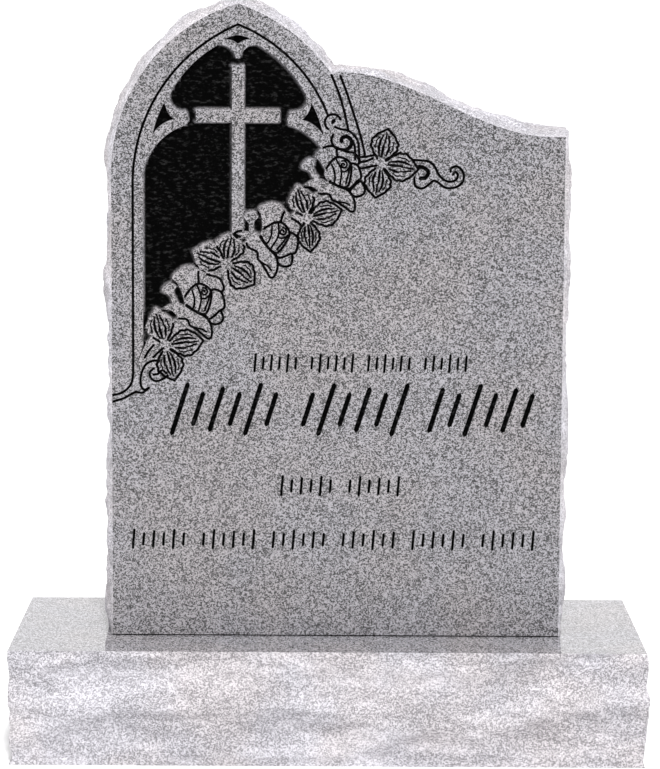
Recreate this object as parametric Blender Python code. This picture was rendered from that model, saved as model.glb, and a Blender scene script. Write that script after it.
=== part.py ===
"""A gothic upright headstone: a granite tablet with a carved window on a rock-faced base.

The tablet's left half is a pointed arch and its right half a lower shoulder that falls away in a
soft wave. Its front is flat and carries sunk and engraved work: a traceried window with a cross,
a garland of roses and leaves across the window's lower right side, scrolls, and rows of strokes
in the place of an inscription. Its sides and the base's sides are pitched rough.

The front is one relief surface. Every line of the carving becomes an edge of a triangulation of
the tablet's face, and each of its points is sunk to the depth that the carving has there.

Metres, +Z up, the front faces -Y and the origin is under the middle of the base.
"""
import math

import bmesh
import bpy
import numpy as np
from mathutils import Vector, noise
from mathutils.geometry import delaunay_2d_cdt

INCH = 0.0254

# Base
BASE_LENGTH = 34 * INCH
BASE_DEPTH = 14 * INCH
BASE_HEIGHT = 0.158
BASE_PITCH = 0.011
BASE_SPACING = 0.034

# Tablet: a pointed arch on the left, a notch, and a shoulder that falls to the right corner
TABLET_WIDTH = 0.615
TABLET_THICKNESS = 6 * INCH
TABLET_HEIGHT = 0.867
TABLET_OFFSET = 0.0113
TABLET_PITCH = 0.019
SEAT_GAP = 0.0003
ARCH_HEIGHT = 0.231
ARCH_RISE = 0.048
BRANCH_CUT = 0.016
BRANCH_RISE = 0.0125
NOTCH_DROP = 0.094
SHOULDER_START = 0.010
SHOULDER_LIP = 0.003
SHOULDER_DROP = 0.086
SHOULDER_FLAT = 0.016
OUTLINE_SPACING = 0.028
ROCK_GRAIN = 0.055

# Window: the engraved arch line, the sunk lights within it and the cross that stands in them
WINDOW_MARGIN = 0.029
WINDOW_WIDTH = 0.285
WINDOW_TOP_MARGIN = 0.028
WINDOW_ARCH_HEIGHT = 0.217
WINDOW_RISE = 0.0393
BRANCH_LINE_RISE = 0.0177
RECESS_DEPTH = 0.006
RECESS_DRAFT = 0.002
CROSS_BAR = 0.0155
CROSS_SPAN = 0.113
CROSS_TOP_OVER_SPRING = 0.161
CROSS_ARMS_OVER_SPRING = 0.0935
CROSS_FOOT_UNDER_SPRING = 0.072

# Engraved lines
LINE_WIDTH = 0.0034
LINE_DEPTH = 0.0013
BROAD_WIDTH = 0.0065
LINE_TOLERANCE = 0.0006
LINE_SAMPLE = 0.001
MERGE_DISTANCE = 0.00025
EDGE_SLACK = 0.05

# Rows of strokes: margins to the left and right side, foot, height, lean, places, stroke width
ROWS = (
    (0.190, 0.126, 0.368, 0.024, 0.08, 27, 0.0040),
    (0.080, 0.034, 0.282, 0.068, 0.32, 20, 0.0078),
    (0.226, 0.216, 0.197, 0.026, 0.08, 13, 0.0042),
    (0.022, 0.030, 0.122, 0.026, 0.08, 41, 0.0042),
)
ROW_GROUP = 7
STROKE_HEIGHTS = (1.0, 0.62, 0.84, 0.62)

WINDOW_AXIS = WINDOW_MARGIN + WINDOW_WIDTH / 2 - TABLET_WIDTH / 2
WINDOW_APEX = TABLET_HEIGHT - WINDOW_TOP_MARGIN
WINDOW_SPRING = WINDOW_APEX - WINDOW_ARCH_HEIGHT
CARVING_UNIT = WINDOW_WIDTH / 285
TABLET_FRONT = -TABLET_THICKNESS / 2


# Plane curves. Points are rows of x and height, in metres from the tablet's middle and foot.

def carving(*points):
    """Points of the garland, given in its own millimetres from the window's axis and spring."""
    return np.array(points, float) * CARVING_UNIT + (WINDOW_AXIS, WINDOW_SPRING)


def straight(start, end):
    return np.array([start, end], float)


def rectangle(left, right, low, high):
    return np.array([(left, low), (right, low), (right, high), (left, high)])


def bow(start, end, rise, count=24):
    """An arc from start to end whose middle stands `rise` to the right of the straight way."""
    start, end = np.asarray(start, float), np.asarray(end, float)
    along = (end - start) / 2
    half = np.hypot(*along)
    right = np.array([along[1], -along[0]]) / half
    angle = 2 * math.atan(rise / half)
    turn = np.linspace(-angle, angle, count)[:, None]
    across = (np.cos(turn) - math.cos(angle)) / math.sin(angle) * half
    return (start + end) / 2 + along * np.sin(turn) / math.sin(angle) + right * across


def curve(points, closed=False, count=8):
    """A smooth line through a few points, a Catmull-Rom spline with `count` steps a stretch."""
    points = np.asarray(points, float)
    if closed:
        ring = np.vstack([points[-1:], points, points[:2]])
    else:
        ring = np.vstack([2 * points[0] - points[1], points, 2 * points[-1] - points[-2]])
    t = np.linspace(0, 1, count, endpoint=False)[:, None]
    pieces = []
    for a, b, c, d in zip(ring, ring[1:], ring[2:], ring[3:]):
        pieces.append(b + (c - a) * t / 2 + (2 * a - 5 * b + 4 * c - d) * t**2 / 2
                      + (3 * b - a - 3 * c + d) * t**3 / 2)
    return np.vstack(pieces if closed else pieces + [points[-1:]])


def evenly(line, spacing):
    """The same line with points about `spacing` apart, its ends kept."""
    step = np.hypot(*np.diff(line, axis=0).T)
    along = np.concatenate([[0], np.cumsum(step)])
    count = max(2, round(along[-1] / spacing) + 1)
    wanted = np.linspace(0, along[-1], count)
    return np.column_stack([np.interp(wanted, along, line[:, k]) for k in (0, 1)])


def thinned(line, tolerance=LINE_TOLERANCE):
    """The same line with only the points that it needs to stay within the tolerance."""
    if len(line) < 3:
        return line
    way = line[-1] - line[0]
    span = np.hypot(*way)
    apart = line[1:-1] - line[0]
    off = np.hypot(*apart.T) if span < tolerance else abs(apart @ (-way[1], way[0])) / span
    if off.max() < tolerance:
        return line[[0, -1]]
    furthest = off.argmax() + 1
    return np.vstack([thinned(line[:furthest + 1], tolerance)[:-1], thinned(line[furthest:], tolerance)])


def closed_line(outline):
    return np.vstack([outline, outline[:1]])


def distance(points, line):
    """How far each point is from a line of straight stretches."""
    start, way = line[:-1], np.diff(line, axis=0)
    from_start = points[:, None] - start
    share = np.clip((from_start * way).sum(2) / (way**2).sum(1), 0, 1)
    return np.sqrt(((from_start - share[..., None] * way)**2).sum(2)).min(1)


def inside(points, outline):
    """Which points lie within a closed outline: those that see an odd number of sides to their right."""
    a, b = outline, np.roll(outline, -1, axis=0)
    x, z = points[:, :1], points[:, 1:]
    spans = (z < a[:, 1]) != (z < b[:, 1])
    rise = np.where(a[:, 1] == b[:, 1], 1, b[:, 1] - a[:, 1])
    crossing = a[:, 0] + (z - a[:, 1]) * (b[:, 0] - a[:, 0]) / rise
    return (spans & (x < crossing)).sum(1) % 2 == 1


def near(points, line, reach):
    """Which points lie within the box around a line, widened by the reach."""
    return np.all((points > line.min(0) - reach) & (points < line.max(0) + reach), axis=1)


def signed(points, outline, reach=0.012):
    """Distance to a closed outline, negative within it, and no more than the reach."""
    found = np.full(len(points), reach)
    close = near(points, outline, reach)
    apart = distance(points[close], closed_line(outline))
    found[close] = np.where(inside(points[close], outline), -apart, apart)
    return np.clip(found, -reach, reach)


def runs(line, kept, fewest=3):
    """The unbroken stretches of a line whose points are kept."""
    pieces, start = [], None
    for i, keep in enumerate(list(kept) + [False]):
        if keep and start is None:
            start = i
        if not keep and start is not None:
            if i - start >= fewest:
                pieces.append(line[start:i])
            start = None
    return pieces


# The tablet's outline

def tablet_outline():
    """Counter-clockwise from the left foot: foot, right side, shoulder, notch, pointed arch."""
    right, left = TABLET_WIDTH / 2, -TABLET_WIDTH / 2
    apex = (WINDOW_AXIS, TABLET_HEIGHT)
    notch = (WINDOW_AXIS + WINDOW_WIDTH / 2 - BRANCH_CUT, TABLET_HEIGHT - NOTCH_DROP)
    spring = TABLET_HEIGHT - ARCH_HEIGHT
    crest = notch[1] + SHOULDER_LIP
    low = crest - SHOULDER_DROP
    start, end = notch[0] + SHOULDER_START, right - SHOULDER_FLAT
    t = np.linspace(1, 0, 24)
    wave = np.column_stack([start + (end - start) * t, low + SHOULDER_DROP * (1 + np.cos(math.pi * t)) / 2])
    pieces = [
        straight((left, 0), (right, 0)),
        straight((right, 0), (right, low)),
        np.vstack([[(right, low)], wave, [notch]]),
        bow(notch, apex, BRANCH_RISE),
        bow(apex, (left, spring), ARCH_RISE),
        straight((left, spring), (left, 0)),
    ]
    return np.vstack([evenly(piece, OUTLINE_SPACING)[:-1] for piece in pieces])


# The window

def glass_outline():
    """The sunk field of the window: two lights between cusps, down to behind the garland."""
    left = carving((-129, -220), (-129, 14))
    lower = bow(left[1], carving((-69, 82))[0], -0.013)
    cusp = curve(carving((-69, 82), (-67, 90), (-71, 99)))
    corner = bow(cusp[-1], carving((-92, 123))[0], -0.009)
    light = bow(corner[-1], carving((-26, 190))[0], -0.007)
    lobe = bow(light[-1], carving((-5, 174))[0], -0.0055)
    half = np.vstack([left[:1], lower, cusp[1:], corner[1:], light[1:], lobe[1:]])
    twin = half[:0:-1] * (-1, 1) + (2 * WINDOW_AXIS, 0)
    seen = twin[twin[:, 1] > carving((0, 46))[0, 1]]
    hidden = carving((135, 30), (117, -2), (91, -20), (59, -56), (21, -70), (-13, -90),
                     (-53, -128), (-83, -182), (-113, -202), (-124, -214), (-140, -250))
    return np.vstack([half, seen, hidden])


def eyelets():
    """The small pierced shapes of the tracery: one over the top cusp and one beside each other."""
    top = np.vstack([bow(*carving((-19, 197), (0, 203)), -0.001)[:-1],
                     bow(*carving((0, 203), (18, 197)), -0.001)[:-1],
                     bow(*carving((18, 197), (0, 190)), 0.002)[:-1],
                     bow(*carving((0, 190), (-19, 197)), 0.002)[:-1]])
    side = np.vstack([bow(*carving((-99, 113), (-116, 67)), 0.002)[:-1],
                      bow(*carving((-116, 67), (-86, 89)), -0.004)[:-1],
                      bow(*carving((-86, 89), (-99, 113)), -0.003)[:-1]])
    return [top, side, side[::-1] * (-1, 1) + (2 * WINDOW_AXIS, 0)]


def cross_bars():
    """The cross stands level with the face: an upright bar that runs behind the garland, and arms."""
    x, bar, span = WINDOW_AXIS, CROSS_BAR / 2, CROSS_SPAN / 2
    foot, top = WINDOW_SPRING - CROSS_FOOT_UNDER_SPRING, WINDOW_SPRING + CROSS_TOP_OVER_SPRING
    arms = WINDOW_SPRING + CROSS_ARMS_OVER_SPRING
    return [rectangle(x - bar, x + bar, foot, top), rectangle(x - span, x + span, arms - bar, arms + bar)]


# The garland. A layer is a closed outline that hides what lies behind it, and the lines cut for it.

def leaf_lobe(centre, angle, length, width):
    """One lobe of a leaf: half width sin(pi t^1.3)^0.8 with scalloped edges, its rim line and veins."""
    turn = math.radians(angle)
    axis = np.array([math.cos(turn), math.sin(turn)])
    side = np.array([-axis[1], axis[0]])

    def half_width(t):
        return width / 2 * np.sin(np.pi * t**1.3) ** 0.8 * (0.90 + 0.16 * np.abs(np.sin(3.5 * np.pi * t)))

    def place(t, share):
        return centre + np.outer(t * length, axis) + np.outer(share * half_width(t), side)

    def rim(start):
        t = np.linspace(start, 1, 41)
        return np.vstack([place(t, np.ones_like(t)), place(t[-2::-1], -np.ones_like(t[1:]))])

    cuts = [rim(0.13)]
    for start, end, share in ((0.32, 0.78, 0.0), (0.36, 0.70, 0.52), (0.36, 0.70, -0.52)):
        t = np.linspace(start, end, 5)
        cuts.append(place(t, np.full(5, share)))
    return rim(0.02), cuts


def leaf(x, z, *lobes):
    """A leaf of three lobes about one stem point: each lobe's direction, length and width."""
    centre = carving((x, z))[0]
    return [leaf_lobe(centre, angle, length * CARVING_UNIT, width * CARVING_UNIT)
            for angle, length, width in lobes]


def rose(x, z, turn, reach):
    """A half-open rose seen from its side, about the bud's middle: petals, collar, bud and heart."""
    angle = math.radians(turn)
    spin = np.array([[math.cos(angle), math.sin(angle)], [-math.sin(angle), math.cos(angle)]])

    def placed(points, size=1.0):
        return carving(*(np.array(points, float) * size @ spin + (x, z)))

    petals = [
        [(-29, 23), (-35, 29), (-28, 37), (-18, 43), (-4, 43), (8, 34), (10, 14), (-14, -8), (-22, 10)],
        [(1, 38), (15, 33), (27, 30), (33, 23), (34, 12), (16, 6), (4, 12)],
        [(18, 12), (30, 11), (35, 2), (36, -11), (29, -16), (22, -23), (13, -26), (4, -6)],
    ]
    sepal = [(28, -14), (33, -20), (34, -28), (29, -33), (20, -34), (14, -26)]
    knob = [(-49, 11), (-44, 18), (-36, 21), (-30, 17), (-33, 10), (-30, 0), (-26, -6), (-34, -6), (-39, 5)]
    collar = [(-52, -15), (-45, -8), (-35, -4), (-22, -5), (-12, -12), (0, -19), (10, -24), (16, -31),
              (19, -42), (18, -52), (13, -54), (6, -48), (-4, -40), (-11, -36), (-15, -28), (-28, -26),
              (-37, -18)]
    bud = [(-19, -2), (-11, 13), (0, 21), (11, 18), (18, 10), (17, -4), (10, -20), (-6, -15)]
    folds = [
        [(-8, 12), (-5, 2), (-5, -8), (-7, -13)],
        [(-1, 18), (4, 6), (4, -4), (1, -16)],
        [(16, 8), (14, -2), (9, -16)],
        [(4, 1), (10, 1), (15, 5)],
    ]
    turns = np.linspace(0, 1, 20)
    heart = placed(np.column_stack([8 + (1.2 + 4.6 * turns) * np.cos(8.2 * turns),
                                    10 + (1.2 + 4.6 * turns) * np.sin(8.2 * turns)]))
    outlines = [placed(sepal), placed(knob)] + [placed(petal, reach) for petal in petals]
    outlines = [curve(outline, True) for outline in outlines + [placed(collar), placed(bud)]]
    collar_fold = curve(placed([(-5, -39), (5, -41), (12, -45)]))
    cuts = [[] for _ in petals + [sepal, knob]]
    cuts += [[collar_fold], [curve(placed(fold)) for fold in folds] + [heart]]
    return [(outline, [closed_line(outline)] + cut) for outline, cut in zip(outlines, cuts)]


def garland():
    """Roses first and leaves in front of them, from the lower left to the shoulder."""
    layers = rose(-54, -155, 0, 1.0) + rose(50, -69, -20, 0.95) + rose(136, 18, 5, 0.84)
    layers += leaf(-99, -219, (105, 52, 37), (8, 53, 36), (-75, 50, 36))
    layers += leaf(-15, -107, (80, 43, 40), (160, 49, 39), (-36, 47, 40))
    layers += leaf(94, -44, (108, 46, 35), (14, 49, 34), (-84, 46, 30))
    layers += leaf(193, 30, (78, 49, 37), (-8, 52, 38), (-98, 46, 36))
    return layers


def ornament_lines():
    """The lines that stand by themselves: the arch line, twin lines, scrolls and stems."""
    jamb = WINDOW_AXIS - WINDOW_WIDTH / 2
    apex = (WINDOW_AXIS, WINDOW_APEX)
    turn_out = carving((-142.5, -258), (-145, -271), (-153, -281), (-163, -286), (-173, -288))
    arch = np.vstack([bow(carving((121.5, 96))[0], apex, BRANCH_LINE_RISE)[:-1],
                      bow(apex, (jamb, WINDOW_SPRING), WINDOW_RISE)[:-1],
                      curve(turn_out)])
    ring = np.radians(np.linspace(20, 238, 16))
    upper_ring = carving(*np.column_stack([128.5 + 11 * np.cos(ring), 86 + 11 * np.sin(ring)]))
    lines = [
        carving((126, 150), (136, 126), (144, 100), (149.5, 75)),
        carving((138, 149), (147, 126), (158, 93), (166, 68), (172, 43)),
        carving((131, 80), (139, 77), (149, 75), (157, 69), (163, 58), (164.5, 35)),
        carving((129, 70), (126.5, 62), (129, 55), (134, 50.5), (142, 50), (148, 48)),
        carving((156, 68), (160, 58), (162, 46), (161.5, 35)),
        carving((164, 39), (174, 40), (183, 42)),
        carving((164, 32), (174, 34), (183, 38)),
        carving((167, 24), (181, 27), (188, 28)),
        carving((236, 36), (246, 35.5), (258, 34), (266, 28), (271, 18), (278, 10), (287, 6.5),
                (295, 9), (298, 15), (295, 20), (291, 16)),
        carving((288, 20), (289, 25), (295, 27.5), (301, 25), (306, 17), (305, 7), (299, 1), (290, -2),
                (280, -1), (272, 5), (266, 8), (260, 4), (252, -2), (245, -2), (240, 2), (239, 12)),
        carving((-107, -240), (-116, -240), (-126, -246), (-132, -260), (-132, -274), (-127, -280),
                (-121, -277)),
        carving((-114, -250), (-120, -256), (-118, -264), (-111, -268), (-102, -265), (-95, -260)),
        carving((-115, -259), (-109, -258), (-103, -253), (-97, -257)),
        carving((-127, -236), (-121, -226), (-114, -218)),
        carving((-115, -235), (-109, -229), (-101, -222)),
        carving((-172.5, -297), (-156, -292), (-147, -287), (-139, -283), (-130, -284), (-121, -277)),
    ]
    broad = [
        carving((128, 86), (130, 89)),
        carving((140, 60), (141, 65), (146, 67), (151, 65), (154, 60), (152, 53), (148, 50)),
        carving((245, 27), (253, 25), (258, 19), (254, 12), (247, 11)),
    ]
    thin = [arch, upper_ring] + [curve(line) for line in lines]
    return [(line, LINE_WIDTH) for line in thin] + [(curve(line), BROAD_WIDTH) for line in broad]


def inscription_strokes():
    """Rows of leaning strokes, longer and shorter by turns, that stand for the inscription."""
    strokes = []
    for left, right, foot, height, lean, places, width in ROWS:
        for i in range(places):
            if i % ROW_GROUP == ROW_GROUP - 1:
                continue
            share = (i + 0.5) / places
            middle = (left - TABLET_WIDTH / 2 + (TABLET_WIDTH - left - right) * share, foot + height / 2)
            half = np.array([lean, 1]) * height * STROKE_HEIGHTS[i % len(STROKE_HEIGHTS)] / 2
            strokes.append((straight(middle - half, middle + half), width))
    return strokes


# The relief

class Relief:
    """Everything carved on the face: outlines of sunk fields, level islands in them, and lines."""

    def __init__(self):
        self.layers = garland()
        self.glass = glass_outline()
        self.holes = eyelets()
        self.islands = cross_bars() + [rim for rim, _ in self.layers]
        self.lines = self.garland_lines() + ornament_lines() + inscription_strokes()

    def field(self, points):
        """Distance to the edge of the sunk fields, negative within them."""
        depth = signed(points, self.glass)
        for island in self.islands:
            depth = np.maximum(depth, -signed(points, island))
        for hole in self.holes:
            depth = np.minimum(depth, signed(points, hole))
        return depth

    def garland_lines(self):
        """Each layer's lines, without what a nearer layer hides or the recess takes away."""
        lines = []
        for index, (_, cuts) in enumerate(self.layers):
            for line in cuts:
                line = evenly(line, LINE_SAMPLE)
                seen = self.field(line) > LINE_WIDTH / 2
                for nearer, _ in self.layers[index + 1:]:
                    seen &= ~inside(line, nearer)
                lines += [(run, LINE_WIDTH) for run in runs(line, seen)]
        return lines

    def sunk(self, points):
        """Depth under the face: the fields slope down over the draft, the lines are V-shaped."""
        depth = RECESS_DEPTH * np.clip(-self.field(points) / (RECESS_DRAFT * (1 - EDGE_SLACK)), 0, 1)
        for line, width in self.lines:
            close = near(points, line, width)
            fall = 1 - distance(points[close], line) / (width / 2)
            groove = LINE_DEPTH * width / LINE_WIDTH * np.clip(fall, 0, 1)
            depth[close] = np.maximum(depth[close], groove)
        return depth

    def edges(self):
        """The lines that the face is divided along: both levels of each wall and three of each groove."""
        found = []
        for outline in [self.glass] + self.islands + self.holes:
            rim = evenly(closed_line(outline), LINE_SAMPLE)
            way = np.roll(rim[:-1], -1, axis=0) - np.roll(rim[:-1], 1, axis=0)
            across = np.column_stack([-way[:, 1], way[:, 0]]) / np.hypot(*way.T)[:, None]
            across = np.vstack([across, across[:1]])
            for offset in (0.0, -RECESS_DRAFT, RECESS_DRAFT):
                line = rim + across * offset
                level = -abs(offset)
                for run in runs(line, abs(self.field(line) - level) < RECESS_DRAFT * EDGE_SLACK):
                    found.append(thinned(run))
        for line, width in self.lines:
            line = thinned(line)
            way = np.diff(line, axis=0)
            way /= np.hypot(*way.T)[:, None]
            way = np.vstack([way[:1], way[:-1] + way[1:], way[-1:]])
            way /= np.hypot(*way.T)[:, None]
            across = np.column_stack([-way[:, 1], way[:, 0]]) * width / 2
            tips = line[:1] - way[:1] * width / 2, line[-1:] + way[-1:] * width / 2
            found.append(line)
            found.append(np.vstack([tips[0], line + across, tips[1], (line - across)[::-1], tips[0]]))
        return found


def triangulated_face(outline, relief):
    """Points and triangles of the tablet's face, divided along its outline and its carving."""
    points, sides = [], []
    for line in [closed_line(outline)] + relief.edges():
        first = len(points)
        points += [Vector(point) for point in line]
        sides += [(first + i, first + i + 1) for i in range(len(line) - 1)]
    found, _, triangles, _, _, _ = delaunay_2d_cdt(points, sides, [], 0, MERGE_DISTANCE)
    found = np.array([tuple(point) for point in found])
    triangles = np.array(triangles)
    within = inside(found[triangles].mean(1), outline)
    triangles = triangles[within]
    used = np.unique(triangles)
    number = np.full(len(found), -1)
    number[used] = np.arange(len(used))
    return found[used], number[triangles]


# Rock-pitched sides

# Rows of the rough sides: share of the way back or down, and share of the swell
PITCH_ROWS = ((0.06, 0.48), (0.20, 0.85), (0.42, 1.0), (0.66, 0.92), (0.90, 0.65), (1.0, 0.0))


def roughness(points, seed):
    """Broken stone between 0 and 1 at each point in space: broad scoops with finer chips on them."""
    values = []
    for point in points:
        place = Vector(point) / ROCK_GRAIN + Vector((seed, seed, seed))
        values.append(0.6 + 0.50 * noise.noise(place) + 0.25 * noise.noise(place * 2.7))
    values = np.clip(values, 0, None)
    return values / values.max()


def outward(loop):
    """Directions out of a closed loop of plane points, evened out over their neighbours."""
    way = np.roll(loop, -1, axis=0) - np.roll(loop, 1, axis=0)
    out = np.column_stack([way[:, 1], -way[:, 0]])
    out /= np.hypot(*out.T)[:, None]
    for _ in range(2):
        out = (np.roll(out, 1, axis=0) + 2 * out + np.roll(out, -1, axis=0)) / 4
    return out / np.hypot(*out.T)[:, None]


def ordered_rim(bm):
    """The open rim of a mesh as one ordered loop of its points."""
    start = next(edge for edge in bm.edges if edge.is_boundary)
    rim = [start.verts[0], start.verts[1]]
    while True:
        last, before = rim[-1], rim[-2]
        ahead = next(edge.other_vert(last) for edge in last.link_edges
                     if edge.is_boundary and edge.other_vert(last) is not before)
        if ahead is rim[0]:
            return rim
        rim.append(ahead)


def add_row(bm, loop, places):
    """A new row of points joined to the loop before it by a strip of faces."""
    row = [bm.verts.new(place) for place in places]
    for i, point in enumerate(loop):
        j = (i + 1) % len(loop)
        bm.faces.new((point, loop[j], row[j], row[i]))
    return row


def close_up(bm, row):
    """The flat face that closes the last row, and all faces turned outward."""
    bmesh.ops.triangulate(bm, faces=[bm.faces.new(row)], ngon_method="EAR_CLIP")
    bmesh.ops.recalc_face_normals(bm, faces=bm.faces)


def stone(name, colour, roughness_value):
    """A plain stone material."""
    material = bpy.data.materials.new(name)
    material.use_nodes = True
    shader = material.node_tree.nodes["Principled BSDF"]
    shader.inputs["Base Color"].default_value = (*colour, 1)
    shader.inputs["Roughness"].default_value = roughness_value
    shader.inputs["Metallic"].default_value = 0.0
    return material


def add_object(name, bm, material, location):
    mesh = bpy.data.meshes.new(name)
    bm.to_mesh(mesh)
    bm.free()
    mesh.materials.append(material)
    piece = bpy.data.objects.new(name, mesh)
    piece.location = location
    bpy.context.collection.objects.link(piece)
    return piece


def tablet():
    """The carved front, rough sides that swell out between the two arrises, and a flat back."""
    relief = Relief()
    places, triangles = triangulated_face(tablet_outline(), relief)
    depths = relief.sunk(places)
    bm = bmesh.new()
    points = [bm.verts.new((x, TABLET_FRONT + depth, z)) for (x, z), depth in zip(places, depths)]
    for triangle in triangles:
        bm.faces.new([points[i] for i in triangle])
    rim = ordered_rim(bm)
    plan = np.array([(point.co.x, point.co.z) for point in rim])
    area = np.sum(plan[:, 0] * np.roll(plan[:, 1], -1) - np.roll(plan[:, 0], -1) * plan[:, 1])
    if area < 0:
        rim, plan = rim[::-1], plan[::-1]
    out = outward(plan)
    on_foot = plan[:, 1] < MERGE_DISTANCE
    out[on_foot, 1] = 0
    out[on_foot & (abs(plan[:, 0]) < TABLET_WIDTH / 2 - MERGE_DISTANCE), 0] = 0
    row = rim
    for share, swell in PITCH_ROWS:
        y = TABLET_FRONT + TABLET_THICKNESS * share
        at = np.column_stack([plan[:, 0], np.full(len(plan), y), plan[:, 1]])
        push = out * (TABLET_PITCH * swell * roughness(at, 3.0))[:, None]
        row = add_row(bm, row, at + np.column_stack([push[:, 0], np.zeros(len(plan)), push[:, 1]]))
    close_up(bm, row)
    granite = stone("granite_face", (0.30, 0.295, 0.315), 0.45)
    return add_object("tablet", bm, granite, (TABLET_OFFSET, 0, BASE_HEIGHT + SEAT_GAP))


def base():
    """A block with a smooth top and rough sides that swell out between its top and its underside."""
    half = np.array([BASE_LENGTH / 2, BASE_DEPTH / 2])
    corners = [(-half[0], -half[1]), (half[0], -half[1]), (half[0], half[1]), (-half[0], half[1])]
    sides = zip(corners, corners[1:] + corners[:1])
    plan = np.vstack([evenly(np.array(side), BASE_SPACING)[:-1] for side in sides])
    out = outward(plan)
    bm = bmesh.new()
    top = [bm.verts.new((x, y, BASE_HEIGHT)) for x, y in plan]
    row = top
    for share, swell in PITCH_ROWS:
        at = np.column_stack([plan, np.full(len(plan), BASE_HEIGHT * (1 - share))])
        rough = roughness(at, 11.0)
        for way in (out[:, 0], -out[:, 0], out[:, 1], -out[:, 1]):
            faced = way > 0.9
            rough[faced] /= rough[faced].max()
        push = out * (BASE_PITCH * swell * rough)[:, None]
        row = add_row(bm, row, at + np.column_stack([push, np.zeros(len(plan))]))
    bm.faces.new(top[::-1])
    close_up(bm, row)
    return add_object("base", bm, stone("granite_rock", (0.62, 0.61, 0.62), 0.7), (0, 0, 0))


for old in list(bpy.data.objects):
    bpy.data.objects.remove(old, do_unlink=True)
base()
tablet()
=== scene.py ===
# %% [markdown]
# # A gothic upright headstone
#
# The real stone is two pieces of grey granite: a tablet with a dull face on a base with a
# polished top. The sides of both are broken rough, which masons call rock pitch. The packed
# model has both pieces at their true size. This lesson replaces each with a finer surface of
# the same form, and gives it stone, paint and light.

import math

import bpy
import numpy as np
from mathutils import Matrix, Vector, noise
from mathutils.geometry import delaunay_2d_cdt


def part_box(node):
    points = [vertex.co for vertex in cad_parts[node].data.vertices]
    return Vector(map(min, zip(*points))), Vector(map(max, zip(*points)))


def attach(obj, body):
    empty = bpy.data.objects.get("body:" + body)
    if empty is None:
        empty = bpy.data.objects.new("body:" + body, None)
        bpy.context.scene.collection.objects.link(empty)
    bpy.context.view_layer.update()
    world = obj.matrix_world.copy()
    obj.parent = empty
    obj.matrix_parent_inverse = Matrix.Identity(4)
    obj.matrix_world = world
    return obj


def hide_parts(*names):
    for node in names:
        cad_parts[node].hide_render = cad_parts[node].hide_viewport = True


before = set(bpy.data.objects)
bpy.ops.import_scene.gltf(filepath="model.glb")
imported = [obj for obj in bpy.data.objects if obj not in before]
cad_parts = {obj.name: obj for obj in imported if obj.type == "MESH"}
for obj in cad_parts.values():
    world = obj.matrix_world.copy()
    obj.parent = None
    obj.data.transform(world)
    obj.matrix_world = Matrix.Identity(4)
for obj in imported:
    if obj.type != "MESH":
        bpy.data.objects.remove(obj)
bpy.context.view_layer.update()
tablet_low, tablet_high = (np.array(corner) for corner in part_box("tablet"))

# %% [markdown]
# ## The camera
#
# The photograph was taken from a little above the middle of the stone with a long lens, so the
# lines that run back hardly draw together. The lens and the tilt were worked out from the edges
# of the base. A long lens far away flattens the stone in the same way here.

# %% Camera
LENS = 142.8
CAMERA_PLACE = (-0.0024, -4.207, 1.0718)
CAMERA_TILT = math.radians(82.242)
CAMERA_TURN = math.radians(-0.057)
CAMERA_ROLL = math.radians(0.309)

camera = bpy.data.objects.new("camera", bpy.data.cameras.new("camera"))
camera.data.lens = LENS
camera.matrix_world = (Matrix.Translation(CAMERA_PLACE) @ Matrix.Rotation(CAMERA_TURN, 4, "Z")
                       @ Matrix.Rotation(CAMERA_TILT, 4, "X") @ Matrix.Rotation(CAMERA_ROLL, 4, "Z"))
bpy.context.collection.objects.link(camera)
bpy.context.scene.camera = camera

# %% [markdown]
# ## The studio
#
# The stone stands in white surroundings, which light it from all round and which its polished
# top mirrors. A white world does that here. A key light from high in front, a little to the
# right, gives the broken stone its shading. Its broad disc keeps the shadows soft.

# %% Light and floor
WORLD_STRENGTH = 1.25
KEY_STRENGTH = 3.0
KEY_DISC = math.radians(6)
KEY_TOWARDS = Vector((-0.12, 0.74, -0.80))
FLOOR_REACH = 60
FLOOR_LIGHTNESS, FLOOR_ROUGHNESS = 0.80, 0.9

world = bpy.data.worlds.new("white_surroundings")
world.use_nodes = True
world.node_tree.nodes["Background"].inputs["Color"].default_value = (1, 1, 1, 1)
world.node_tree.nodes["Background"].inputs["Strength"].default_value = WORLD_STRENGTH
bpy.context.scene.world = world
bpy.context.scene.view_settings.view_transform = "Standard"

key = bpy.data.objects.new("key_light", bpy.data.lights.new("key_light", "SUN"))
key.data.energy = KEY_STRENGTH
key.data.angle = KEY_DISC
key.rotation_euler = KEY_TOWARDS.to_track_quat("-Z", "Y").to_euler()
bpy.context.collection.objects.link(key)

# %% [markdown]
# ## Arithmetic with material nodes
#
# A node material is a formula, and reads best when it is written as one. The class below wraps
# a node's output socket, so that plus, minus and times make Math nodes by themselves. Any
# other node comes from one method, which takes its type, its settings and its inputs.

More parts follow.
